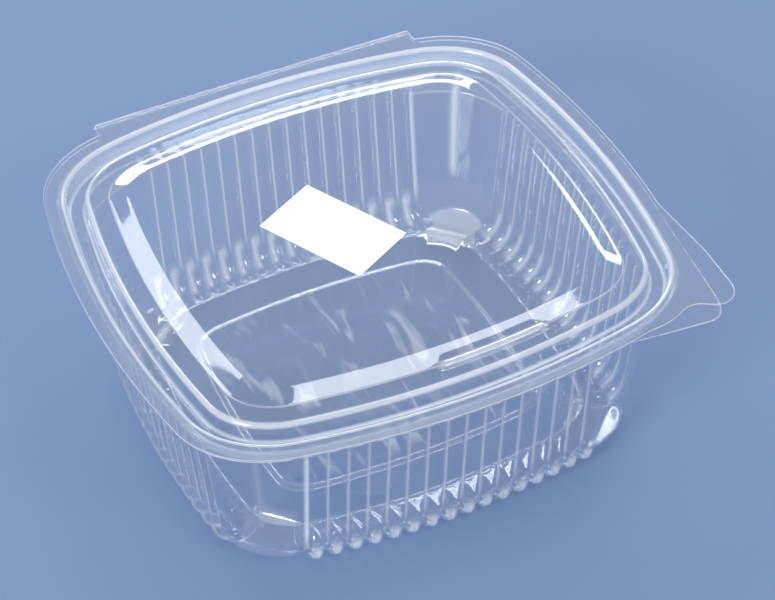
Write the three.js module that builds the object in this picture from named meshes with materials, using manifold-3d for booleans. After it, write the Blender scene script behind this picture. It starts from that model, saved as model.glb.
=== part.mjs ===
// A clear takeaway container, shut: a fluted square tray, its hinged lid and the blank label on the lid.
// Sizes are in millimetres. X runs along the hinge, Y from the front to the hinge, Z up from the table.
import * as THREE from "three";
import { mergeVertices } from "three/addons/utils/BufferGeometryUtils.js";
import Module from "manifold-3d";

const wasm = await Module();
wasm.setup();

// Driving sizes
const RIM_Z = 48.5; // height of the plane where the lid's flange lies on the tray's
const LID_HALF_X = 65; // half the lid's width across its flange, along X
const NARROWER_Y = 3.6; // by how much every half-size is less along Y than along X
const BOW_RADIUS = 200; // the four sides bulge outwards on a bow of this radius
const TRAY_WALL = 0.55; // sheet thickness as drawn
const LID_WALL = 0.5;

// The tray's flutes
const PITCH = 4.507; // width of one flute
const FLUTES_X = 16; // flutes on the front and on the back
const FLUTES_Y = 15; // flutes on each of the other two sides
const FLUTE_DEPTH = 1.5; // from a flute's crest to the crease between two flutes
const FIELD_X = (FLUTES_X * PITCH) / 2;
const FIELD_Y = (FLUTES_Y * PITCH) / 2;
const SHORTER_Y = FIELD_X - FIELD_Y; // by how much a bowed side's half-length is less along Y

// How finely the solids are cut into facets
const SIDE_STEPS = 8;
const CORNER_STEPS = 8;
const STEPS_PER_FLUTE = 3;
const CORNER_FULLNESS = 0.61; // a corner's Bezier handles, as a share of the way to the tangents' crossing
const CURVE_SEGMENTS = 5;
const MERGE_WITHIN = 1e-4;

// The four sides in order round the container, each with the way it runs and the way it faces.
const SIDES = [
  { run: [1, 0], face: [0, -1], along: "x" },
  { run: [0, 1], face: [1, 0], along: "y" },
  { run: [-1, 0], face: [0, 1], along: "x" },
  { run: [0, -1], face: [-1, 0], along: "y" },
];

// Height of a flute's round back over its crease, 0 to 1, at a share of its width.
// The middle third is kept flat, so that the tray stands on small flat feet.
function fluteBack(share) {
  const middleThird = share > 0.3 && share < 0.7;
  return middleThird ? 1 : 0;
}

// Half the length of a bowed side at a station.
function sideLength(along, station) {
  const fluted = station.depth > 0;
  if (along === "x") return fluted ? FIELD_X : station.reach;
  return fluted ? FIELD_Y : station.reach - SHORTER_Y;
}

// One closed ring of points round the container, at a station of its profile.
// half: half-size along X at mid-side; z: height; reach: half-length of the bowed side along X;
// depth: how deep the creases are; fall: the way they go, out and up; cut: the most that |x| + |y| may be.
function ringAt(station) {
  const { half, z, depth = 0, fall = [0, 0], cut = Infinity } = station;
  const points = [];
  const runs = [];
  const sideEnds = SIDES.map((side) => {
    const fluted = depth > 0;
    const alongX = side.along === "x";
    const length = sideLength(side.along, station);
    const apex = alongX ? half - NARROWER_Y : half;
    const flutes = alongX ? FLUTES_X : FLUTES_Y;
    const steps = fluted ? STEPS_PER_FLUTE * flutes : SIDE_STEPS;
    return { side, length, apex, steps, fluted };
  });
  const pointOn = (end, share, raised) => {
    const u = end.length * (2 * share - 1);
    const crease = depth * (1 - raised);
    const out = end.apex - (u * u) / (2 * BOW_RADIUS) - crease * fall[0];
    const { run, face } = end.side;
    return [run[0] * u + face[0] * out, run[1] * u + face[1] * out, z - crease * fall[1]];
  };
  sideEnds.forEach((end, k) => {
    for (let i = 0; i < end.steps; i++) {
      const withinFlute = (i / STEPS_PER_FLUTE) % 1;
      points.push(pointOn(end, i / end.steps, end.fluted ? fluteBack(withinFlute) : 1));
    }
    runs.push(end.steps);
    const next = sideEnds[(k + 1) % 4];
    const raised = end.fluted ? 0 : 1;
    points.push(...cornerPoints(end, next, pointOn(end, 1, raised), pointOn(next, 0, raised)));
    runs.push(CORNER_STEPS);
  });
  for (const p of points) {
    const excess = (Math.abs(p[0]) + Math.abs(p[1]) - cut) / 2;
    if (excess > 0) {
      p[0] -= Math.sign(p[0]) * excess;
      p[1] -= Math.sign(p[1]) * excess;
    }
  }
  return { points, runs };
}

// The round corner from the end of one side to the start of the next, as a Bezier curve.
function cornerPoints(end, next, from, to) {
  const tangent = ({ side, length }, sign) =>
    new THREE.Vector3(
      side.run[0] + (sign * side.face[0] * length) / BOW_RADIUS,
      side.run[1] + (sign * side.face[1] * length) / BOW_RADIUS,
      0,
    );
  const crossed = (p, q) => p.x * q.y - p.y * q.x;
  const start = new THREE.Vector3(...from);
  const finish = new THREE.Vector3(...to);
  const gap = finish.clone().sub(start);
  const leaving = tangent(end, -1);
  const arriving = tangent(next, 1);
  const turn = crossed(leaving, arriving) / CORNER_FULLNESS;
  const curve = new THREE.CubicBezierCurve3(
    start,
    start.clone().addScaledVector(leaving, crossed(gap, arriving) / turn),
    finish.clone().addScaledVector(arriving, -crossed(leaving, gap) / turn),
    finish,
  );
  const shares = Array.from({ length: CORNER_STEPS }, (_, i) => i / CORNER_STEPS);
  return shares.map((share) => curve.getPoint(share).toArray());
}

// The facets between two rings, run by run, where the runs may have different numbers of points.
function bridge(lower, upper, faces) {
  let i0 = 0;
  let j0 = 0;
  const at = (ring, i) => ring.first + (i % ring.points.length);
  lower.runs.forEach((n, k) => {
    const m = upper.runs[k];
    let i = 0;
    let j = 0;
    while (i < n || j < m) {
      if (j === m || (i < n && (i + 1) * m <= (j + 1) * n)) {
        faces.push(at(lower, i0 + i), at(lower, i0 + i + 1), at(upper, j0 + j));
        i++;
      } else {
        faces.push(at(lower, i0 + i), at(upper, j0 + j + 1), at(upper, j0 + j));
        j++;
      }
    }
    i0 += n;
    j0 += m;
  });
}

// The normal of a profile at each station, facing away from the sheet, and how far its mitre reaches.
function mitres(stations) {
  const normals = stations.slice(1).map((b, i) => {
    const a = stations[i];
    const d = new THREE.Vector2(b.half - a.half, b.z - a.z).normalize();
    return new THREE.Vector2(d.y, -d.x);
  });
  return stations.map((_, i) => {
    const before = normals[Math.max(i - 1, 0)];
    const after = normals[Math.min(i, normals.length - 1)];
    const mitre = before.clone().add(after).normalize();
    return { x: mitre.x, y: mitre.y, reach: 1 / mitre.dot(before) };
  });
}

// The cut of the corners, as |x| + |y|, is this many walls less on the sheet's inner surface.
const CUT_INSET = 1.5;

// A sheet formed over a profile that runs from the middle of the container to its outer edge:
// the profile's own surface, the edge, and the same surface a wall's thickness further in.
function formedSheet(stations, wall, middleZ) {
  const ways = mitres(stations);
  const outside = stations.map((s, i) => ({ ...s, fall: s.fall || [ways[i].x, ways[i].y] }));
  const inside = outside.map((s, i) => ({
    ...s,
    half: s.half - ways[i].x * ways[i].reach * wall,
    z: s.z - ways[i].y * ways[i].reach * wall,
    cut: s.cut ? s.cut - CUT_INSET * wall : undefined,
  }));
  const rings = [...outside, ...inside.reverse()].map(ringAt);
  const points = [];
  const faces = [];
  for (const ring of rings) {
    ring.first = points.length;
    points.push(...ring.points);
  }
  rings.slice(1).forEach((ring, i) => bridge(rings[i], ring, faces));
  const under = points.push([0, 0, middleZ]) - 1;
  const over = points.push([0, 0, middleZ + wall]) - 1;
  const lowest = rings[0];
  const highest = rings[rings.length - 1];
  for (let i = 0; i < lowest.points.length; i++) {
    const next = (i + 1) % lowest.points.length;
    faces.push(under, lowest.first + next, lowest.first + i);
  }
  for (let i = 0; i < highest.points.length; i++) {
    const next = (i + 1) % highest.points.length;
    faces.push(highest.first + i, highest.first + next, over);
  }
  const geometry = new THREE.BufferGeometry();
  geometry.setAttribute("position", new THREE.Float32BufferAttribute(points.flat(), 3));
  geometry.setIndex(faces);
  return geometry;
}

// A three.js geometry as a solid for booleans, and back.
function toSolid(geometry) {
  const bare = geometry.clone();
  bare.deleteAttribute("normal");
  bare.deleteAttribute("uv");
  const merged = mergeVertices(bare, MERGE_WITHIN);
  return new wasm.Manifold(
    new wasm.Mesh({
      numProp: 3,
      vertProperties: merged.attributes.position.array,
      triVerts: new Uint32Array(merged.index.array),
    }),
  );
}

function toGeometry(solid) {
  const mesh = solid.getMesh();
  const geometry = new THREE.BufferGeometry();
  geometry.setAttribute("position", new THREE.Float32BufferAttribute(mesh.vertProperties, 3));
  geometry.setIndex(new THREE.Uint32BufferAttribute(mesh.triVerts, 1));
  return geometry;
}

// A flat plate of a drawn outline, from one height up to another.
function plate(shape, low, high) {
  const depth = high - low;
  const options = { depth, bevelEnabled: false, curveSegments: CURVE_SEGMENTS };
  const geometry = new THREE.ExtrudeGeometry(shape, options);
  geometry.translate(0, 0, low);
  return toSolid(geometry);
}

// The block inside the flange, which keeps tabs and hinge strips from covering what the flange surrounds.
function blockInside() {
  const ring = ringAt({ half: FLANGE_INNER, z: 0, reach: FLANGE_INNER_REACH });
  const outline = ring.points.map(([x, y]) => new THREE.Vector2(x, y));
  return plate(new THREE.Shape(outline), RIM_Z - BLOCK_HALF, RIM_Z + BLOCK_HALF);
}

// Flanges: the lid's lies on the tray's with a hair's breadth between them.
const FLANGE_GAP = 0.3;
const TRAY_FLANGE_TOP = RIM_Z - 1.5 * FLANGE_GAP;
const TRAY_FLANGE_UNDER = TRAY_FLANGE_TOP - TRAY_WALL;
const LID_FLANGE_UNDER = TRAY_FLANGE_TOP + FLANGE_GAP;
const LID_FLANGE_TOP = LID_FLANGE_UNDER + LID_WALL;
const TRAY_HALF_X = LID_HALF_X - 0.4;
const FLANGE_REACH = 41.8;
const FLANGE_INNER = 62;
const FLANGE_INNER_REACH = 39.8;
const BLOCK_HALF = 10;

// Living hinge: a strip on each flange, folded at the back along the axis that the lid turns on.
const HINGE_HALF_LENGTH = 41;
const HINGE_Y = 61.9;
const HINGE_BOW = 0.3; // how much nearer the strips' ends are than their middle
const FOLD_GAP = 0.3;
const STRIP_ROOT_Y = 50; // the strips start well inside the flange, where the block cuts them off

function hingeStrip(low, high) {
  const edgeY = HINGE_Y - FOLD_GAP;
  const endY = edgeY - HINGE_BOW;
  const shape = new THREE.Shape();
  shape.moveTo(-HINGE_HALF_LENGTH, STRIP_ROOT_Y);
  shape.lineTo(HINGE_HALF_LENGTH, STRIP_ROOT_Y);
  shape.lineTo(HINGE_HALF_LENGTH, endY);
  shape.quadraticCurveTo(0, edgeY + HINGE_BOW, -HINGE_HALF_LENGTH, endY);
  shape.closePath();
  return plate(shape, low, high).subtract(blockInside());
}

// Lifting tabs at the front right corner. The lid's has a waved front edge, the tray's a straight one.
function lidTab() {
  const shape = new THREE.Shape();
  shape.moveTo(50, -20);
  shape.lineTo(63.6, -22);
  shape.lineTo(65.2, -40);
  shape.lineTo(64.9, -51.5);
  shape.bezierCurveTo(64.9, -54.8, 62.8, -56.8, 60.2, -56.8);
  shape.bezierCurveTo(57.4, -56.8, 56.6, -54.1, 53.6, -54.1);
  shape.bezierCurveTo(50.8, -54.1, 49.6, -56.4, 44, -56.9);
  shape.lineTo(38, -57.2);
  shape.lineTo(38, -48);
  shape.closePath();
  return plate(shape, LID_FLANGE_UNDER, LID_FLANGE_TOP).subtract(blockInside());
}

function trayTab() {
  const shape = new THREE.Shape();
  shape.moveTo(50, -12);
  shape.lineTo(64, -14);
  shape.lineTo(60.3, -52.5);
  shape.bezierCurveTo(59.7, -57.6, 58.6, -59.6, 55.2, -59.6);
  shape.lineTo(42, -58.3);
  shape.lineTo(36, -57.6);
  shape.lineTo(36, -48);
  shape.closePath();
  return plate(shape, TRAY_FLANGE_UNDER, TRAY_FLANGE_TOP).subtract(blockInside());
}

// The tray, from the middle of its floor out to the flange's edge, as it faces the table and the outside.
const FLOOR_PANEL_Z = 4.3;
const FLOOR_Z = 3.5;
const FOOT_CUT = 81; // the bottom corners are cut straight across, at this |x| + |y|
const FLOOR_CUT = 68.5;
const FACET_RISE = 1.5; // how fast a corner's facet widens with height
const WALL_LEAN = 0.086; // how far the wall leans out for each millimetre of height
const WALL_FOOT_Z = 6.5;
const FLUTE_TOP_Z = 40.3;
const ARCH_BEND = 0.4; // height of the bend between a flute and the ledge over it
const LEDGE_RISE = 2.8; // rise of the slope over the flutes, which goes out as far as it goes up
const WALL_FOOT_HALF = 55.1;
const wallHalf = (z) => WALL_FOOT_HALF + WALL_LEAN * (z - WALL_FOOT_Z);
const facetCut = (z) => FOOT_CUT + FACET_RISE * Math.SQRT2 * z;

function traySolid() {
  const d = FLUTE_DEPTH;
  const straightTopZ = FLUTE_TOP_Z - d - ARCH_BEND;
  const archHalf = wallHalf(FLUTE_TOP_Z);
  const stations = [
    { half: 33.4, z: FLOOR_PANEL_Z, reach: 25 },
    { half: 34.4, z: FLOOR_Z, reach: 25.5 },
    { half: 44.2, z: FLOOR_Z, reach: 33, cut: FLOOR_CUT },
    { half: 45.4, z: 2.3, depth: 0.8 * d, cut: FLOOR_CUT + 2.5 },
    { half: 47.9, z: 0, depth: 0.9 * d, cut: FOOT_CUT - 3.5 },
    { half: 49.4, z: 0, depth: 0.9 * d, cut: FOOT_CUT },
    { half: 52.2, z: 0.9, depth: d, cut: facetCut(0.9) },
    { half: 54.2, z: 3.1, depth: d, cut: facetCut(3.1) },
    { half: WALL_FOOT_HALF, z: WALL_FOOT_Z, depth: d, cut: facetCut(WALL_FOOT_Z) },
    { half: wallHalf(12), z: 12, depth: d, cut: facetCut(12) },
    { half: wallHalf(straightTopZ), z: straightTopZ, depth: d },
    { half: archHalf, z: FLUTE_TOP_Z, depth: d, fall: [1, 1] },
    { half: archHalf + LEDGE_RISE, z: FLUTE_TOP_Z + LEDGE_RISE, reach: 38.5 },
    { half: 61.5, z: TRAY_FLANGE_UNDER - 0.5, reach: 39.4 },
    { half: 62, z: TRAY_FLANGE_UNDER, reach: 39.8 },
    { half: TRAY_HALF_X, z: TRAY_FLANGE_UNDER, reach: FLANGE_REACH },
  ];
  return toSolid(formedSheet(stations, TRAY_WALL, FLOOR_PANEL_Z))
    .add(hingeStrip(TRAY_FLANGE_UNDER, TRAY_FLANGE_TOP))
    .add(trayTab());
}

// The lid, from the middle of its panel out to the flange's edge, as its underside faces the food.
const PANEL_Z = RIM_Z + 2.5;
const PLATEAU_Z = RIM_Z + 0.1;
const PLUG_Z = RIM_Z - 4.5;

function lidSolid() {
  const stations = [
    { half: 40.9, z: PANEL_Z, reach: 30.5 },
    { half: 46, z: PANEL_Z - 0.8, reach: 33.5 },
    { half: 50, z: PLATEAU_Z, reach: 36 },
    { half: 54.9, z: PLATEAU_Z, reach: 37.5 },
    { half: 55.4, z: PLATEAU_Z - 0.5, reach: 37.7 },
    { half: 55.8, z: PLUG_Z + 0.4, reach: 37.8 },
    { half: 56.3, z: PLUG_Z, reach: 38 },
    { half: 59.5, z: PLUG_Z, reach: 38.6 },
    { half: 60, z: PLUG_Z + 0.5, reach: 38.7 },
    { half: 60.5, z: LID_FLANGE_UNDER - 0.5, reach: 39 },
    { half: 60.9, z: LID_FLANGE_UNDER, reach: 39.2 },
    { half: LID_HALF_X, z: LID_FLANGE_UNDER, reach: FLANGE_REACH },
  ];
  return toSolid(formedSheet(stations, LID_WALL, PANEL_Z))
    .add(hingeStrip(LID_FLANGE_UNDER, LID_FLANGE_TOP))
    .add(lidTab());
}

// The blank label, stuck askew on the lid's panel.
const LABEL = { length: 28, width: 17.2, thick: 0.12, x: -7.2, y: -0.4, turn: -1.085, gap: 0.1 };

function mesh(name, geometry, material) {
  const made = new THREE.Mesh(geometry, material);
  made.name = name;
  return made;
}

function clearPlastic() {
  const clear = { transparent: true, opacity: 0.35 };
  return new THREE.MeshStandardMaterial({ color: 0xdfe9f2, roughness: 0.08, metalness: 0, ...clear });
}

function whitePaper() {
  return new THREE.MeshStandardMaterial({ color: 0xfafafa, roughness: 0.6, metalness: 0 });
}

const container = new THREE.Group();
container.add(mesh("tray", toGeometry(traySolid()), clearPlastic()));
container.add(mesh("lid", toGeometry(lidSolid()), clearPlastic()));

const labelSheet = new THREE.BoxGeometry(LABEL.length, LABEL.width, LABEL.thick);
const labelZ = PANEL_Z + LID_WALL + LABEL.gap + LABEL.thick / 2;
const label = mesh("label", labelSheet, whitePaper());
label.position.set(LABEL.x, LABEL.y, labelZ);
label.rotation.z = LABEL.turn;
container.add(label);

export default container;
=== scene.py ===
# %% [markdown]
# # A clear takeaway container, shut and empty
# The container is one sheet of clear plastic, formed hot in a mould and folded at a hinge.
# It has a fluted square tray, a lid whose plug sinks into the tray's rim, and a blank paper label.
# This script gives those parts their looks: thin curved sheets instead of faceted solids.
# The frame holds the same parts as plain solids, so each sheet here takes its place over one of them.

# %% Load the frame
import math

import bpy
import numpy as np
from mathutils import Matrix, Vector


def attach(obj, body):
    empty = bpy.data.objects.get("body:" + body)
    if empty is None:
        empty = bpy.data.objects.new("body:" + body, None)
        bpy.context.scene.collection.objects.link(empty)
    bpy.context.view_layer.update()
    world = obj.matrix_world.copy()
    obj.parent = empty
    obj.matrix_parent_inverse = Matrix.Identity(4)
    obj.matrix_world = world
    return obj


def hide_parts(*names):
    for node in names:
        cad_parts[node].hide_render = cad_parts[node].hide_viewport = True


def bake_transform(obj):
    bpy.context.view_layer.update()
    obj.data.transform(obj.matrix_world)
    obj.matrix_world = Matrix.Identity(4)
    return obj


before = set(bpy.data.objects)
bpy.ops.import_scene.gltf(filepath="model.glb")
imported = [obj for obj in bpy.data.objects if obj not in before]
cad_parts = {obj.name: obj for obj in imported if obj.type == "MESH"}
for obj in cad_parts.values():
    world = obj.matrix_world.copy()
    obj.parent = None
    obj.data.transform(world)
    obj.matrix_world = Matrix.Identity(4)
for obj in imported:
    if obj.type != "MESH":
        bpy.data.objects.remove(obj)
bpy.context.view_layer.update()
MM = 0.001

# %% [markdown]
# ## Sizes
# Every height is measured up from the table, and every half-size out from the middle along X.
# The container is 3.6 mm narrower from front to hinge on each side, so one half-size gives both.
# All four sides bulge outwards on the same gentle bow of 200 mm radius.

# %% Driving sizes in millimetres
RIM_Z = 48.5
NARROWER_Y = 3.6
BOW_RADIUS = 200.0
SHEET = 0.35
PITCH = 4.507
FLUTES_X = 16
FLUTES_Y = 15
FLUTE_DEPTH = 1.5
FIELD_X = FLUTES_X * PITCH / 2
FIELD_Y = FLUTES_Y * PITCH / 2
CORNER_FULLNESS = 0.61
FLANGE_REACH = 41.8
HINGE_HALF = 41.0
HINGE_EDGE_Y = 61.2
HINGE_BOW = 0.3
HINGE_END = (1 - HINGE_HALF / FLANGE_REACH) / 2
BACK = 2

# %% [markdown]
# ## Going round the container
# A ring is drawn once and used at every height: along a side, round a corner, along the next side and so on.
# Each column of the ring knows its side, its place along that side, and how deep in a flute's crease it is.
# A flute's back is an arc of a circle, so the columns stand closer together near the creases.


# %% The columns of a ring
def flute_columns(count, steps):
    """Shares along a fluted side and how high each stands on its flute's back.
    A flute of width c and depth h is an arc of radius (c*c/4 + h*h) / 2h.
    It is walked at even angles, but for two columns close to each crease."""
    radius = (PITCH**2 / 4 + FLUTE_DEPTH**2) / (2 * FLUTE_DEPTH)
    widest = math.asin(PITCH / 2 / radius)
    inner = np.linspace(-0.86, 0.86, steps - 2)
    angle = np.concatenate([[-1.0, -0.95], inner, [0.95]]) * widest
    within = 0.5 + radius * np.sin(angle) / PITCH
    raised = (radius * np.cos(angle) - radius + FLUTE_DEPTH) / FLUTE_DEPTH
    share = (np.arange(count)[:, None] + within[None, :]) / count
    return share.ravel(), np.tile(raised, count)


def with_hinge_ends(share, raised):
    """The shares of the back side with a close pair of columns at each end of the hinge strip."""
    extra = np.array([HINGE_END - 0.0003, HINGE_END + 0.0003])
    extra = np.concatenate([extra, 1 - extra[::-1]])
    near = (np.abs(share[:, None] - extra[None, :]) > 0.0012).all(1)
    merged = np.concatenate([share[near], extra])
    heights = np.interp(merged, np.append(share, 1.0), np.append(raised, raised[0]))
    order = np.argsort(merged)
    return merged[order], heights[order]


def ring_columns(fluted, side_steps, corner_steps):
    """For each side in turn: its columns' shares, their heights on a flute, and the shares of its corner."""
    columns = []
    for side, flutes in enumerate((FLUTES_X, FLUTES_Y, FLUTES_X, FLUTES_Y)):
        if fluted:
            share, raised = flute_columns(flutes, side_steps)
        else:
            share = np.arange(side_steps) / side_steps
            raised = np.ones(side_steps)
        if side == BACK:
            share, raised = with_hinge_ends(share, raised)
        columns.append((share, raised, np.arange(corner_steps) / corner_steps))
    return columns


tray_columns = ring_columns(True, 7, 26)
lid_columns = ring_columns(False, 64, 40)
print("tray columns:", sum(len(c[0]) + len(c[2]) for c in tray_columns))


# %% [markdown]
# ## The surface over a profile
# A profile is a list of stations from the middle to the edge, like the outline a potter's template has.
# Each station gives a half-size, a height, half the length of the side, the creases' depth and a corner cut.
# Sharp bends of the profile are rounded first, because heated sheet never takes a perfectly sharp bend.

# %% Profiles with rounded bends
HALF, HEIGHT, REACH, CREASE_IN, CREASE_DOWN, CUT = range(6)
FAR_CUT = 150.0


def rounded(stations, radii, steps=4):
    """The profile with each inner bend replaced by a quadratic curve through the bend's ends.
    The curve starts and ends one radius from the bend, or 0.45 of the way to the next station."""
    stations = np.asarray(stations, float)
    lengths = np.hypot(*np.diff(stations[:, :2], axis=0).T)
    rows = [stations[0]]
    for i in range(1, len(stations) - 1):
        back = min(radii[i], 0.45 * lengths[i - 1]) / lengths[i - 1]
        on = min(radii[i], 0.45 * lengths[i]) / lengths[i]
        start = stations[i] + (stations[i - 1] - stations[i]) * back
        end = stations[i] + (stations[i + 1] - stations[i]) * on
        for t in np.linspace(0, 1, steps + 1):
            rows.append(
                start * (1 - t) ** 2 + stations[i] * 2 * t * (1 - t) + end * t**2
            )
    rows.append(stations[-1])
    return np.array(rows)


def refined(stations, longest):
    """The profile with every stretch longer than longest cut into even parts."""
    rows = [stations[0]]
    for a, b in zip(stations[:-1], stations[1:]):
        parts = max(1, int(math.ceil(np.hypot(*(b - a)[:2]) / longest)))
        for k in range(1, parts + 1):
            rows.append(a + (b - a) * k / parts)
    return np.array(rows)


# %% Rings of the surface
# each side's way along, the way it faces, and the axis that it runs along
SIDES = (
    ((1, 0), (0, -1), "x"),
    ((0, 1), (1, 0), "y"),
    ((-1, 0), (0, 1), "x"),
    ((0, -1), (-1, 0), "y"),
)


def side_points(stations, side, share, raised):
    """Points of one bowed side: u along it, and half - u*u / (2*bow) out, less the crease's depth."""
    run, face, along = SIDES[side]
    s = stations[:, None, :]
    length = s[..., REACH] - (0 if along == "x" else FIELD_X - FIELD_Y)
    apex = s[..., HALF] - (NARROWER_Y if along == "x" else 0)
    u = length * (2 * share[None, :] - 1)
    crease = 1 - raised[None, :]
    out = apex - u**2 / (2 * BOW_RADIUS) - s[..., CREASE_IN] * crease
    z = s[..., HEIGHT] - s[..., CREASE_DOWN] * crease
    return np.stack([run[0] * u + face[0] * out, run[1] * u + face[1] * out, z], -1)


def corner_points(start, end, side, stations, share):
    """Points of the corner after a side: a cubic Bezier curve between the sides' ends, along both bows."""
    (run, face, along), (run2, face2, along2) = SIDES[side], SIDES[(side + 1) % 4]
    shorter = FIELD_X - FIELD_Y
    length = stations[:, REACH] - (0 if along == "x" else shorter)
    length2 = stations[:, REACH] - (0 if along2 == "x" else shorter)
    a = np.stack([run[k] - face[k] * length / BOW_RADIUS for k in (0, 1)], -1)
    b = np.stack([run2[k] + face2[k] * length2 / BOW_RADIUS for k in (0, 1)], -1)
    gap = end[:, :2] - start[:, :2]
    cross = a[:, 0] * b[:, 1] - a[:, 1] * b[:, 0]
    reach_a = (gap[:, 0] * b[:, 1] - gap[:, 1] * b[:, 0]) / cross
    reach_b = (a[:, 0] * gap[:, 1] - a[:, 1] * gap[:, 0]) / cross
    level = np.zeros((len(stations), 1))
    handle_a = start + np.hstack([a * reach_a[:, None], level]) * CORNER_FULLNESS
    handle_b = end - np.hstack([b * reach_b[:, None], level]) * CORNER_FULLNESS
    t = share[None, :, None]
    p0, p1, p2, p3 = (p[:, None, :] for p in (start, handle_a, handle_b, end))
    return (
        p0 * (1 - t) ** 3
        + p1 * 3 * t * (1 - t) ** 2
        + p2 * 3 * t**2 * (1 - t)
        + p3 * t**3
    )


def surface(stations, columns, soft_cut=0.5):
    """The points over a profile: a row for each station, and a column for each step round the ring.
    The corner cut moves a point diagonally inwards by the smooth excess of |x| + |y| over the cut."""
    one = np.ones(1)
    parts = []
    for side in range(4):
        share, raised, corner = columns[side]
        parts.append(side_points(stations, side, share, raised))
        low = float(raised[0]) * one
        start = side_points(stations, side, one, low)[:, 0]
        end = side_points(stations, (side + 1) % 4, 0 * one, low)[:, 0]
        parts.append(corner_points(start, end, side, stations, corner))
    grid = np.concatenate(parts, 1)
    over = np.abs(grid[..., 0]) + np.abs(grid[..., 1]) - stations[:, None, CUT]
    excess = (over + np.sqrt(over**2 + soft_cut**2)) / 4
    excess = np.where(over > -6 * soft_cut, excess, 0)
    grid[..., 0] -= np.sign(grid[..., 0]) * excess
    grid[..., 1] -= np.sign(grid[..., 1]) * excess
    return grid


# %% [markdown]
# ## Tabs and hinge strips
# The flange's edge is pulled out to the lifting tabs at one corner and to the hinge strip at the back.
# Seen from the middle, a tab's outline has one distance for each direction, so the edge goes to the greater
# of its own distance and the tab's.


# %% The flange's outer edge
def bezier(*points, steps=10):
    """Points of a straight line or of a cubic Bezier curve, without its first point."""
    t = np.linspace(0, 1, steps + 1)[1:, None]
    p = np.array(points, float)
    if len(p) == 2:
        return p[0] + (p[1] - p[0]) * t
    return p[0] * (1 - t) ** 3 + p[1] * 3 * t * (1 - t) ** 2 + p[2] * 3 * t**2 * (1 - t) + p[3] * t**3


def pull_out(grid, stations, inner_half, tab):
    """Flange points moved out: to the tab's outline by direction, and to the hinge strip's bowed edge.
    The move is full at the edge and fades to none at the inner half-size."""
    edge = grid[-1].copy()
    turn = np.arctan2(edge[:, 1], edge[:, 0])
    distance = np.hypot(edge[:, 0], edge[:, 1])
    tab_turn = np.arctan2(tab[:, 1], tab[:, 0])
    order = np.argsort(tab_turn)
    tab_distance = np.interp(turn, tab_turn[order], np.hypot(tab[:, 0], tab[:, 1])[order], left=0, right=0)
    edge[:, :2] *= (np.maximum(distance, tab_distance) / distance)[:, None]
    strip = (np.abs(edge[:, 0]) < HINGE_HALF) & (edge[:, 1] > 0)
    edge[strip, 1] = HINGE_EDGE_Y - HINGE_BOW * (edge[strip, 0] / HINGE_HALF) ** 2
    moved = edge[:, :2] - grid[-1][:, :2]
    share = np.clip((stations[:, HALF] - inner_half) / (stations[-1, HALF] - inner_half), 0, 1)
    grid[:, :, :2] += share[:, None, None] * moved[None]
    return grid


lid_tab = np.concatenate([
    bezier((63.6, -20), (65.2, -40)),
    bezier((65.2, -40), (64.9, -51.5)),
    bezier((64.9, -51.5), (64.9, -54.8), (62.8, -56.8), (60.2, -56.8)),
    bezier((60.2, -56.8), (57.4, -56.8), (56.6, -54.1), (53.6, -54.1)),
    bezier((53.6, -54.1), (50.8, -54.1), (49.6, -56.4), (44, -56.9)),
    bezier((44, -56.9), (38, -57.2)),
])
tray_tab = np.concatenate([
    bezier((64, -14), (60.3, -52.5)),
    bezier((60.3, -52.5), (59.7, -57.6), (58.6, -59.6), (55.2, -59.6)),
    bezier((55.2, -59.6), (42, -58.3)),
    bezier((42, -58.3), (36, -57.6)),
])

# %% [markdown]
# ## From grid to sheet
# The grid is closed at the middle with one point and turned into faces that all look outwards.
# A Solidify modifier then gives the sheet its real thickness of about a third of a millimetre.


# %% Sheets from grids
def sheet_object(name, grid, thickness, painted_highlight=None):
    """A closed thin sheet over a grid of points in millimetres, whose first row closes on its own middle.
    Where the last argument is given, it says at each point how much white highlight is painted into the
    plastic."""
    rows, count = grid.shape[:2]
    middle = grid[0].mean(0)
    points = np.concatenate([grid.reshape(-1, 3), middle[None]]) * MM
    i, j = np.meshgrid(np.arange(rows - 1), np.arange(count), indexing="ij")
    k = (j + 1) % count
    quads = np.stack([i * count + j, i * count + k, (i + 1) * count + k, (i + 1) * count + j], -1)
    quads = quads.reshape(-1, 4)
    fan = np.stack([(np.arange(count) + 1) % count, np.arange(count), np.full(count, rows * count)], -1)
    mesh = bpy.data.meshes.new(name)
    mesh.vertices.add(len(points))
    mesh.vertices.foreach_set("co", points.astype(np.float32).ravel())
    corners = np.concatenate([quads.ravel(), fan.ravel()])
    starts = np.concatenate([np.arange(len(quads)) * 4, len(quads) * 4 + np.arange(len(fan)) * 3])
    mesh.loops.add(len(corners))
    mesh.loops.foreach_set("vertex_index", corners.astype(np.int32))
    mesh.polygons.add(len(starts))
    mesh.polygons.foreach_set("loop_start", starts.astype(np.int32))
    mesh.update(calc_edges=True)
    mesh.validate()
    mesh.shade_smooth()
    if painted_highlight is not None:
        layer = mesh.attributes.new("painted_highlight", "FLOAT", "POINT")
        layer.data.foreach_set("value", np.append(painted_highlight.ravel(), painted_highlight[0].mean()).astype(np.float32))
    made = bpy.data.objects.new(name, mesh)
    bpy.context.scene.collection.objects.link(made)
    if thickness:
        solidify = made.modifiers.new("thickness", "SOLIDIFY")
        solidify.thickness = thickness * MM
        solidify.offset = -1
    print(name, "faces:", len(starts))
    return made


# %% [markdown]
# ## The tray
# The floor panel is raised a little, with a moulded border, and the flutes start under it.
# Each flute is an arc, runs out under the floor, turns up at its foot and ends in an arch below the rim.
# The four bottom corners are cut by a flat half-moon.
# One more station stands just inside the flange's edge, so that smooth shading leaves the flange flat.

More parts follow.
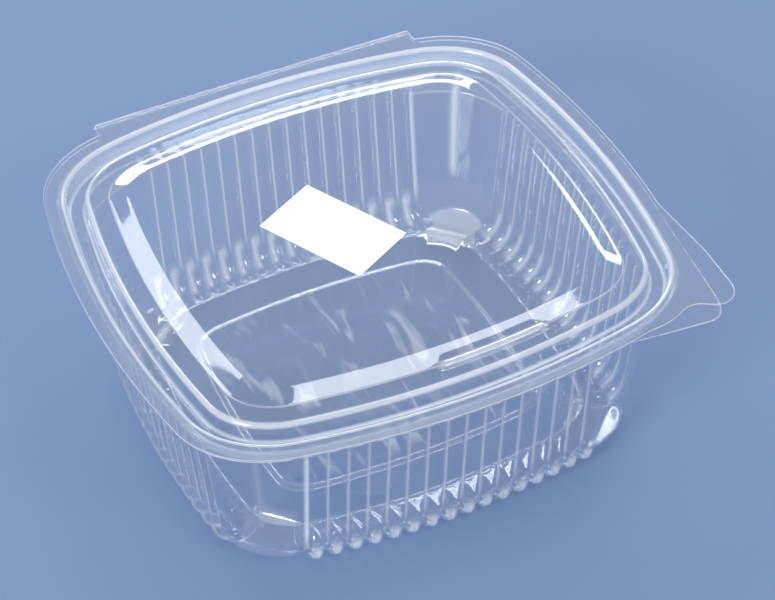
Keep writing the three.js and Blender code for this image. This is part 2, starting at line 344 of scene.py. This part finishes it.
# %% Tray profile
WALL_LEAN = 0.086
WALL_FOOT_HALF, WALL_FOOT_Z = 55.1, 6.5
FLUTE_TOP_Z = 40.3
FLOOR_Z = 3.5
FLOOR_PANEL_Z = 4.3
TRAY_FLANGE_UNDER = 47.5
TRAY_HALF_X = 64.6
EDGE_WIDTH = 0.15
FOOT_CUT = 81
FLOOR_CUT = 68.5
FACET_RISE = 1.5
PANEL_HALF = 33.4


def wall_half(z):
    """The wall's half-size at a height. It leans out evenly."""
    return WALL_FOOT_HALF + WALL_LEAN * (z - WALL_FOOT_Z)


def facet_cut(z):
    """Where the half-moon cuts the corners at a height, as |x| + |y|."""
    return FOOT_CUT + FACET_RISE * math.sqrt(2) * z


d = FLUTE_DEPTH
arch_half = wall_half(FLUTE_TOP_Z)
tray_key = [
    # half, height, reach, crease in, crease down, cut
    (8.0, FLOOR_PANEL_Z, 5, 0, 0, FAR_CUT),
    (20.0, FLOOR_PANEL_Z, 14, 0, 0, FAR_CUT),
    (PANEL_HALF, FLOOR_PANEL_Z, 25, 0, 0, FAR_CUT),
    (34.4, FLOOR_Z, 25.5, 0, 0, FAR_CUT),
    (44.2, FLOOR_Z, 33, 0, 0, FLOOR_CUT),
    (45.4, 2.3, FIELD_X, 0.6 * d, -0.55 * d, FLOOR_CUT + 2.5),
    (47.9, 0.0, FIELD_X, 0.35 * d, -0.85 * d, FOOT_CUT - 3.5),
    (49.4, 0.0, FIELD_X, 0.25 * d, -0.85 * d, FOOT_CUT),
    (52.2, 0.9, FIELD_X, 0.5 * d, -0.8 * d, facet_cut(0.9)),
    (54.2, 3.1, FIELD_X, 0.85 * d, -0.45 * d, facet_cut(3.1)),
    (WALL_FOOT_HALF, WALL_FOOT_Z, FIELD_X, d, -0.12 * d, facet_cut(WALL_FOOT_Z)),
    (wall_half(12), 12, FIELD_X, d, 0, facet_cut(12)),
    (wall_half(18), 18, FIELD_X, d, 0, facet_cut(18)),
    (wall_half(38.4), 38.4, FIELD_X, d, 0, FAR_CUT),
    (arch_half, FLUTE_TOP_Z, FIELD_X, d, d, FAR_CUT),
    (arch_half + 2.8, 43.1, 38.5, 0, 0, FAR_CUT),
    (61.5, TRAY_FLANGE_UNDER - 0.5, 39.4, 0, 0, FAR_CUT),
    (62.0, TRAY_FLANGE_UNDER, 39.8, 0, 0, FAR_CUT),
    (TRAY_HALF_X - EDGE_WIDTH, TRAY_FLANGE_UNDER, FLANGE_REACH - 0.1, 0, 0, FAR_CUT),
    (TRAY_HALF_X, TRAY_FLANGE_UNDER, FLANGE_REACH, 0, 0, FAR_CUT),
]
tray_radii = [0, 0.5, 0.5, 0.5, 0.8, 1.0, 1.2, 0.8, 1.2, 1.2, 1.5, 2, 2, 0.6, 0.4, 1.0, 0.5, 0.4, 0.05, 0]
tray_profile = refined(rounded(tray_key, tray_radii, 3), 6.0)
print("tray stations:", len(tray_profile))
tray_grid = surface(tray_profile, tray_columns)
tray_grid = pull_out(tray_grid, tray_profile, inner_half=62.3, tab=tray_tab)

# %% [markdown]
# ## Painted highlights in clear plastic
# A real sheet looks white at tight bends, creases and cut edges, because they throw light at the eye.
# Thin sheets here don't bend light, so those highlights are painted: each point says how much painted white
# it has.
# The amounts are listed below. The right back corner has more, to stand for a reflection seen there.


# %% Tools for the painted highlights
def ramp(value, start, end):
    """0 on the start's side, 1 on the end's side, and an even slope between them, in either direction."""
    return np.clip((value - start) / (end - start), 0, 1)


def bend_highlight(grid, most):
    """Painted highlight where a line from row to row turns: none under 0.3 radians in a millimetre, most
    from 1 on.
    The turn is the angle between neighbouring steps over their mean length. The cut edge gets painted
    highlight too."""
    steps = np.diff(grid, axis=0)
    lengths = np.linalg.norm(steps, axis=-1)
    along = steps / lengths[..., None]
    turn = np.arccos(np.clip((along[1:] * along[:-1]).sum(-1), -1, 1))
    tight = turn / (0.5 * (lengths[1:] + lengths[:-1]))
    painted_highlight = np.zeros(grid.shape[:2])
    painted_highlight[1:-1] = most * ramp(tight, 0.3, 1.0)
    painted_highlight[-1] = CUT_EDGE_HIGHLIGHT
    return painted_highlight


def on_ring(side_value, corner_value):
    """One value for each of the tray's columns, from a rule for the sides and a rule for the corners."""
    rows = []
    for side, (share, raised, corner) in enumerate(tray_columns):
        rows.append(side_value(side, share, raised))
        rows.append(corner_value(side, corner))
    return np.concatenate(rows)


# %% The tray's painted highlights and reflections
# Strengths of the painted highlights and painted reflections
CUT_EDGE_HIGHLIGHT = 0.6
CREASE_HIGHLIGHT, STREAK_HIGHLIGHT, FAINT_STREAK_HIGHLIGHT = 0.6, 0.8, 0.08
FOOT_HIGHLIGHT, MOON_HIGHLIGHT, FAINT_MOON_HIGHLIGHT = 0.55, 0.4, 0.06
RIM_HIGHLIGHT, TRAY_BEND_HIGHLIGHT, LID_BEND_HIGHLIGHT = 0.38, 0.2, 0.55
RIGHT_BACK = 1
height = tray_profile[:, HEIGHT]
half = tray_profile[:, HALF]


def crease_and_corner_highlights():
    """Painted highlights: thin lines up the creases between flutes, and one upright streak at each corner of
    the wall, a painted reflection strongest at the right back.
    """
    crease = on_ring(
        lambda side, share, raised: CREASE_HIGHLIGHT * (1 - raised) ** 16,
        lambda side, corner: 0 * corner,
    )
    streak = on_ring(
        lambda side, share, raised: 0 * share,
        lambda side, corner: (STREAK_HIGHLIGHT if side == RIGHT_BACK else FAINT_STREAK_HIGHLIGHT)
        * np.exp(-(((corner - 0.577) / 0.035) ** 4)),
    )
    on_wall = ramp(height, 5, 11) * ramp(height, 41.5, 40)
    on_corner = ramp(height, 13, 17) * ramp(height, 44, 40)
    return on_wall[:, None] * crease[None, :] + on_corner[:, None] * streak[None, :]


def flute_share():
    """Where each column stands across its flute, from 0 to 1, and far below 0 in the corners."""
    counts = (FLUTES_X, FLUTES_Y, FLUTES_X, FLUTES_Y)
    return on_ring(
        lambda side, share, raised: (share * counts[side]) % 1,
        lambda side, corner: 0 * corner - 9,
    )


def foot_highlight(across):
    """A painted highlight: a slanted patch at the foot of each flute, whose middle moves across the flute
    with the height.
    """
    middle = 0.62 - 0.035 * height
    patch = np.clip(1.6 - np.abs(across[None, :] - middle[:, None]) / 0.16, 0, 1)
    at_foot = ramp(half, 50, 51.5) * ramp(height, 8.5, 6)
    return at_foot[:, None] * FOOT_HIGHLIGHT * patch


def moon_highlight(grid):
    """Painted highlight on the half-moons, a painted reflection strongest at the right back: points that the
    corner cut holds, from the floor's edge out.
    """
    past_cut = np.abs(grid[..., 0]) + np.abs(grid[..., 1]) - tray_profile[:, None, CUT]
    in_cut = np.clip(1 + past_cut, 0, 1) * (tray_profile[:, None, CUT] < FAR_CUT)
    right_back = (grid[..., 0] > 0) & (grid[..., 1] > 0)
    amount = np.where(right_back, MOON_HIGHLIGHT, FAINT_MOON_HIGHLIGHT)
    return ramp(in_cut, 0, 0.6) * ramp(half, 44.4, 45.4)[:, None] * amount


def rim_highlight(grid):
    """A painted highlight: a band under the flange, stronger on the front and back than on the sides."""
    on_rim = ramp(height, 43.3, 43.9) * ramp(height, 46.9, 46.3)
    front_and_back = 0.4 + 0.6 * ramp(np.abs(grid[..., 1]), 0, 55) ** 2
    return RIM_HIGHLIGHT * on_rim[:, None] * front_and_back


# All of the tray's painted highlights and painted reflections; at the bends they come in dashes under the
# flutes.
across = flute_share()
tray_highlight = crease_and_corner_highlights() + foot_highlight(across) + moon_highlight(tray_grid) + rim_highlight(tray_grid)
under_flutes = (half[:, None] > 44) & (across[None, :] > -1)
dashes = np.where(under_flutes, 0.35 + 0.65 * np.sin(np.pi * across) ** 4, 1)
tray_highlight = np.maximum(tray_highlight, dashes * bend_highlight(tray_grid, TRAY_BEND_HIGHLIGHT))

# %% The tray's sheet
tray_sheet = sheet_object("tray_sheet", tray_grid, SHEET, tray_highlight)
# The floor panel gets painted streak highlights, standing for light caught by its ripples.
panel = ramp(half, PANEL_HALF, PANEL_HALF - 2)[:, None] * np.ones(len(across))
ripple_highlight_layer = tray_sheet.data.attributes.new("ripple_highlight", "FLOAT", "POINT")
ripple_highlight_layer.data.foreach_set("value", np.append(panel.ravel(), 1).astype(np.float32))

# %% [markdown]
# ## The lid
# From the middle out: a flat panel, a soft step down, a plateau, the plug that sinks into the tray, and the
# flange. The plateau carries a short bead at the front, raised by a parabola across its line.

# %% Lid profile
PANEL_Z = RIM_Z + 2.5
PLATEAU_Z = RIM_Z + 0.1
PLUG_Z = RIM_Z - 4.5
LID_FLANGE_UNDER = 48.35
LID_HALF_X = 65.0

BEAD_HALF, BEAD_RADIUS, BEAD_RISE = 50.7, 1.25, 0.6
BEAD_MIDDLE_X, BEAD_REACH = 9, 12

lid_key = [
    (8.0, PANEL_Z, 5, 0, 0, FAR_CUT),
    (40.9, PANEL_Z, 30.5, 0, 0, FAR_CUT),
    (46.0, PANEL_Z - 0.8, 33.5, 0, 0, FAR_CUT),
    (50.0, PLATEAU_Z, 36, 0, 0, FAR_CUT),
    (50.5, PLATEAU_Z, 36.15, 0, 0, FAR_CUT),
    (51.0, PLATEAU_Z, 36.3, 0, 0, FAR_CUT),
    (51.5, PLATEAU_Z, 36.45, 0, 0, FAR_CUT),
    (52.0, PLATEAU_Z, 36.6, 0, 0, FAR_CUT),
    (54.9, PLATEAU_Z, 37.5, 0, 0, FAR_CUT),
    (55.4, PLATEAU_Z - 0.5, 37.7, 0, 0, FAR_CUT),
    (55.8, PLUG_Z + 0.4, 37.8, 0, 0, FAR_CUT),
    (56.3, PLUG_Z, 38, 0, 0, FAR_CUT),
    (59.5, PLUG_Z, 38.6, 0, 0, FAR_CUT),
    (60.0, PLUG_Z + 0.5, 38.7, 0, 0, FAR_CUT),
    (60.5, LID_FLANGE_UNDER - 0.5, 39, 0, 0, FAR_CUT),
    (60.9, LID_FLANGE_UNDER, 39.2, 0, 0, FAR_CUT),
    (LID_HALF_X - EDGE_WIDTH, LID_FLANGE_UNDER, FLANGE_REACH - 0.1, 0, 0, FAR_CUT),
    (LID_HALF_X, LID_FLANGE_UNDER, FLANGE_REACH, 0, 0, FAR_CUT),
]
lid_radii = [0, 0.8, 0.7, 0.8, 0.1, 0.1, 0.1, 0.1, 0.5, 0.5, 0.5, 0.5, 0.5, 0.5, 0.5, 0.4, 0.05, 0]
lid_profile = refined(rounded(lid_key, lid_radii, 4), 4.0)
lid_grid = surface(lid_profile, lid_columns)
lid_grid = pull_out(lid_grid, lid_profile, inner_half=61.2, tab=lid_tab)
side_way = lid_grid[..., 1] + NARROWER_Y * np.sign(lid_grid[..., 1])
from_line = -side_way + lid_grid[..., 0] ** 2 / (2 * BOW_RADIUS) - BEAD_HALF
past_end = np.maximum(np.abs(lid_grid[..., 0] - BEAD_MIDDLE_X) - BEAD_REACH, 0)
lid_grid[..., 2] += BEAD_RISE * np.clip(1 - (from_line**2 + past_end**2) / BEAD_RADIUS**2, 0, 1)
# The lid's bends and cut edge carry painted highlights.
lid_sheet = sheet_object("lid_sheet", lid_grid, SHEET, bend_highlight(lid_grid, LID_BEND_HIGHLIGHT))
print("lid stations:", len(lid_profile))


# %% [markdown]
# ## The fold of the hinge
# Behind the two flanges the sheet turns back on itself in a half round, from the tray's flange below up to
# the lid's.

# %% Hinge fold
FOLD_LOW = TRAY_FLANGE_UNDER + SHEET / 2
FOLD_HIGH = LID_FLANGE_UNDER + SHEET / 2


def fold_points(steps_along, steps_round):
    """Across: a half circle from the tray's strip up to the lid's. Along: the strips' bowed edge."""
    x = np.linspace(-HINGE_HALF, HINGE_HALF, steps_along)
    turn = np.linspace(-math.pi / 2, math.pi / 2, steps_round)
    radius = (FOLD_HIGH - FOLD_LOW) / 2
    y = HINGE_EDGE_Y - HINGE_BOW * (x / HINGE_HALF) ** 2
    yy = y[:, None] + radius * np.cos(turn)[None, :]
    zz = np.broadcast_to((FOLD_LOW + FOLD_HIGH) / 2 + radius * np.sin(turn), yy.shape)
    return np.stack([np.broadcast_to(x[:, None], yy.shape), yy, zz], -1)


def open_sheet(name, grid, thickness):
    """A thin sheet over an open grid of points in millimetres."""
    rows, count = grid.shape[:2]
    i, j = np.meshgrid(np.arange(rows - 1), np.arange(count - 1), indexing="ij")
    quads = np.stack([i * count + j, (i + 1) * count + j, (i + 1) * count + j + 1, i * count + j + 1], -1)
    mesh = bpy.data.meshes.new(name)
    mesh.from_pydata((grid.reshape(-1, 3) * MM).tolist(), [], quads.reshape(-1, 4)[:, ::-1].tolist())
    mesh.shade_smooth()
    made = bpy.data.objects.new(name, mesh)
    bpy.context.scene.collection.objects.link(made)
    solidify = made.modifiers.new("thickness", "SOLIDIFY")
    solidify.thickness = thickness * MM
    solidify.offset = 0
    return made


hinge_fold = open_sheet("hinge_fold", fold_points(61, 9), SHEET)

# %% [markdown]
# ## Clear plastic
# A thin clear sheet does three things to light: most goes straight through, a little shines back, and
# some is scattered by scuffs. The painted highlights are drawn as more of this white scatter. More shines
# back at a glancing angle, by Schlick's rule.

# %% Materials
CLEAR_TINT = (0.975, 0.985, 0.995, 1)
SCATTER_TINT = (0.95, 0.97, 1, 1)
HEAD_ON_SHINE = 0.06


def node(tree, kind, **values):
    """A new shader node with some of its sockets set."""
    made = tree.nodes.new(kind)
    for name, value in values.items():
        made.inputs[name.replace("_", " ")].default_value = value
    return made


def math_node(tree, operation, *inputs):
    """A math node whose inputs are numbers, or outputs of other nodes."""
    made = tree.nodes.new("ShaderNodeMath")
    made.operation = operation
    for socket, value in zip(made.inputs, inputs):
        if isinstance(value, (int, float)):
            socket.default_value = value
        else:
            tree.links.new(value, socket)
    return made


def mesh_value(tree, name):
    """A number that the mesh keeps at each point."""
    made = tree.nodes.new("ShaderNodeAttribute")
    made.attribute_name = name
    return made.outputs["Fac"]


def between(tree, value, low, high, start=0.0, end=1.0):
    """The value moved from the range start to end into the range low to high."""
    made = node(tree, "ShaderNodeMapRange", From_Min=start, From_Max=end, To_Min=low, To_Max=high)
    tree.links.new(value, made.inputs["Value"])
    return made.outputs["Result"]


def mixed(tree, share, first, second):
    """Two shaders mixed, with this share of the second."""
    made = tree.nodes.new("ShaderNodeMixShader")
    if isinstance(share, float):
        made.inputs["Fac"].default_value = share
    else:
        tree.links.new(share, made.inputs["Fac"])
    tree.links.new(first, made.inputs[1])
    tree.links.new(second, made.inputs[2])
    return made.outputs[0]


def scuffs_and_painted_highlights(tree, place, scuffs):
    """How much of the plastic scatters: haze from scuffs, painted highlights as noise streaks in the floor
    panel, and the painted highlights kept at each point of the mesh.
    """
    # Painted highlights: noise streaks that stand for light caught by the floor panel's ripples.
    lengthwise = node(tree, "ShaderNodeMapping", Scale=(1, 0.22, 1))
    streaks = node(tree, "ShaderNodeTexNoise", Scale=330, Detail=1, Distortion=0.8)
    tree.links.new(place, lengthwise.inputs["Vector"])
    tree.links.new(lengthwise.outputs["Vector"], streaks.inputs["Vector"])
    streak = between(tree, streaks.outputs["Fac"], 0, 0.4, 0.55, 0.75)
    haze = between(tree, scuffs, 0.002, 0.015)
    rippled = math_node(tree, "MULTIPLY_ADD", streak, mesh_value(tree, "ripple_highlight"), haze)
    haze_and_highlights = math_node(tree, "ADD", rippled.outputs[0], mesh_value(tree, "painted_highlight"))
    haze_and_highlights.use_clamp = True
    return haze_and_highlights.outputs[0]


def wavy_gloss(tree, place, scuffs, waviness):
    """A mirror made uneven by a low bump and a little rough by the scuffs."""
    gloss = node(tree, "ShaderNodeBsdfGlossy", Color=(1, 1, 1, 1))
    waves = node(tree, "ShaderNodeTexNoise", Scale=waviness, Detail=2)
    bump = node(tree, "ShaderNodeBump", Strength=0.2, Distance=0.0005)
    tree.links.new(place, waves.inputs["Vector"])
    tree.links.new(waves.outputs["Fac"], bump.inputs["Height"])
    tree.links.new(bump.outputs["Normal"], gloss.inputs["Normal"])
    tree.links.new(between(tree, scuffs, 0.02, 0.07), gloss.inputs["Roughness"])
    return gloss.outputs[0]


def clear_plastic(name, waviness):
    """Clear plastic, with its scuff haze and painted highlights as white scatter, under a gloss, whose share
    is s + (1 - s) * (1 - cos angle)^5.
    """
    material = bpy.data.materials.new(name)
    material.use_nodes = True
    tree = material.node_tree
    tree.nodes.clear()
    place = node(tree, "ShaderNodeTexCoord").outputs["Object"]
    scuff_noise = node(tree, "ShaderNodeTexNoise", Scale=90, Detail=4)
    tree.links.new(place, scuff_noise.inputs["Vector"])
    scuffs = scuff_noise.outputs["Fac"]
    through = node(tree, "ShaderNodeBsdfTransparent", Color=CLEAR_TINT).outputs[0]
    front_scatter = node(tree, "ShaderNodeBsdfDiffuse", Color=SCATTER_TINT).outputs[0]
    back_scatter = node(tree, "ShaderNodeBsdfTranslucent", Color=SCATTER_TINT).outputs[0]
    scatter = mixed(tree, 0.4, front_scatter, back_scatter)
    # The white scatter's share carries the scuff haze and the painted highlights.
    body = mixed(tree, scuffs_and_painted_highlights(tree, place, scuffs), through, scatter)
    facing = node(tree, "ShaderNodeLayerWeight", Blend=0.5).outputs["Facing"]
    fifth = math_node(tree, "POWER", facing, 5.0).outputs[0]
    shine = math_node(tree, "MULTIPLY_ADD", fifth, 1 - HEAD_ON_SHINE, HEAD_ON_SHINE).outputs[0]
    surface_shader = mixed(tree, shine, body, wavy_gloss(tree, place, scuffs, waviness))
    output = node(tree, "ShaderNodeOutputMaterial")
    tree.links.new(surface_shader, output.inputs["Surface"])
    return material


def white_paper(name):
    """Matt white paper with faint fibres, as noise in its colour and its bump."""
    material = bpy.data.materials.new(name)
    material.use_nodes = True
    tree = material.node_tree
    link = tree.links.new
    shader = tree.nodes["Principled BSDF"]
    where = node(tree, "ShaderNodeTexCoord")
    fibres = node(tree, "ShaderNodeTexNoise", Scale=2500, Detail=6)
    bump = node(tree, "ShaderNodeBump", Strength=0.15, Distance=0.00005)
    link(where.outputs["Object"], fibres.inputs["Vector"])
    link(between(tree, fibres.outputs["Fac"], 0.93, 1.0), shader.inputs["Base Color"])
    link(fibres.outputs["Fac"], bump.inputs["Height"])
    link(bump.outputs["Normal"], shader.inputs["Normal"])
    shader.inputs["Roughness"].default_value = 0.55
    return material


tray_plastic = clear_plastic("clear_tray_plastic", 60)
lid_plastic = clear_plastic("clear_lid_plastic", 45)
paper = white_paper("label_paper_white")
tray_sheet.data.materials.append(tray_plastic)
lid_sheet.data.materials.append(lid_plastic)
hinge_fold.data.materials.append(lid_plastic)

# %% [markdown]
# ## Onto the frame
# The solids of the frame get the same finishes, then the tray's and the lid's sheets are hung on their
# parts' bodies and stand in for them.
# The fold stays where it is drawn, a half round from the tray's flange to the lid's.

# %% Finishes and places on the frame
for name, material in (("tray", tray_plastic), ("lid", lid_plastic), ("label", paper)):
    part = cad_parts[name]
    part.data.materials.clear()
    part.data.materials.append(material)

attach(tray_sheet, "tray")
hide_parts("tray")
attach(lid_sheet, "lid")
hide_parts("lid")
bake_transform(hinge_fold)

# %% [markdown]
# ## Floor, lamps and camera
# A plain pale floor lets the clear plastic show. It lies 0.2 mm under the container, so the two never touch.
# Soft lamps stand where the dome's slopes mirror them to the camera, and not where the flat panel would.
# The camera was solved from a photo of such a container: a long lens, looking down from the front left.

# %% Floor
FLOOR_HALF = 3.0
FLOOR_GAP = 0.0002
floor_mesh = bpy.data.meshes.new("floor")
floor_corners = [(FLOOR_HALF * x, FLOOR_HALF * y, 0) for x, y in ((-1, -1), (1, -1), (1, 1), (-1, 1))]
floor_mesh.from_pydata(floor_corners, [], [(0, 1, 2, 3)])
floor = bpy.data.objects.new("floor", floor_mesh)
bpy.context.scene.collection.objects.link(floor)
floor.location.z = -FLOOR_GAP
floor_material = bpy.data.materials.new("pale_floor")
floor_material.use_nodes = True
floor_shader = floor_material.node_tree.nodes["Principled BSDF"]
floor_shader.inputs["Base Color"].default_value = (0.17, 0.26, 0.45, 1)
floor_shader.inputs["Roughness"].default_value = 0.8
floor.data.materials.append(floor_material)


# %% Light
def softbox(name, place, aim, size, power):
    """A rectangular area lamp at a place, turned to face a point."""
    lamp = bpy.data.lights.new(name, "AREA")
    lamp.shape = "RECTANGLE"
    lamp.size, lamp.size_y = size
    lamp.energy = power
    made = bpy.data.objects.new(name, lamp)
    bpy.context.scene.collection.objects.link(made)
    made.location = place
    made.rotation_euler = (Vector(aim) - Vector(place)).to_track_quat("-Z", "Y").to_euler()
    return made


MIDDLE = (0, 0, 0.03)
# name, compass bearing from +Y towards +X, height angle, distance, size, radiance
LAMPS = [
    ("back_left", -20, 46, 1.5, (0.42, 0.62), 4),
    ("back", 18, 12, 1.8, (1.3, 0.5), 8),
    ("back_right", 54, 25, 1.5, (0.42, 0.32), 6),
    ("overhead", 88, 73, 1.5, (0.36, 0.6), 4),
    ("front_left", -118, 30, 1.5, (0.5, 0.4), 16),
    ("front", 156, 41, 1.5, (0.4, 0.25), 7),
]
for name, azimuth, elevation, distance, size, radiance in LAMPS:
    turn, lift = math.radians(azimuth), math.radians(elevation)
    toward = Vector((math.sin(turn) * math.cos(lift), math.cos(turn) * math.cos(lift), math.sin(lift)))
    softbox(name, Vector(MIDDLE) + toward * distance, MIDDLE, size, radiance * size[0] * size[1] * math.pi)
world = bpy.data.worlds.new("studio")
bpy.context.scene.world = world
world.use_nodes = True
world.node_tree.nodes["Background"].inputs["Color"].default_value = (0.9, 0.95, 1, 1)
world.node_tree.nodes["Background"].inputs["Strength"].default_value = 0.55

# %% Camera
F_PIXELS = 2472.3
IMAGE_WIDTH = 775
SENSOR = 36
AZIMUTH, ELEVATION, ROLL = (math.radians(v) for v in (-24.931, 43.568, -1.038))
DISTANCE, ASIDE, ABOVE = 554.24, 5.787, -15.828
across_floor = math.cos(ELEVATION)
back = Vector((math.sin(AZIMUTH) * across_floor, -math.cos(AZIMUTH) * across_floor, math.sin(ELEVATION)))
level = Vector((0, 0, 1)).cross(back).normalized()
upright = back.cross(level)
right = level * math.cos(ROLL) + upright * math.sin(ROLL)
up = upright * math.cos(ROLL) - level * math.sin(ROLL)
place = Vector((0, 0, RIM_Z)) + back * DISTANCE + right * ASIDE + up * ABOVE
camera_data = bpy.data.cameras.new("camera")
camera = bpy.data.objects.new("camera", camera_data)
bpy.context.scene.collection.objects.link(camera)
camera_data.sensor_width = SENSOR
camera_data.lens = SENSOR * F_PIXELS / IMAGE_WIDTH
camera_data.clip_start = 0.01
camera.matrix_world = Matrix.Translation(place * MM) @ Matrix((right, up, back)).transposed().to_4x4()
bpy.context.scene.camera = camera
bpy.context.scene.cycles.transparent_max_bounces = 40
bpy.context.scene.view_settings.view_transform = "Standard"
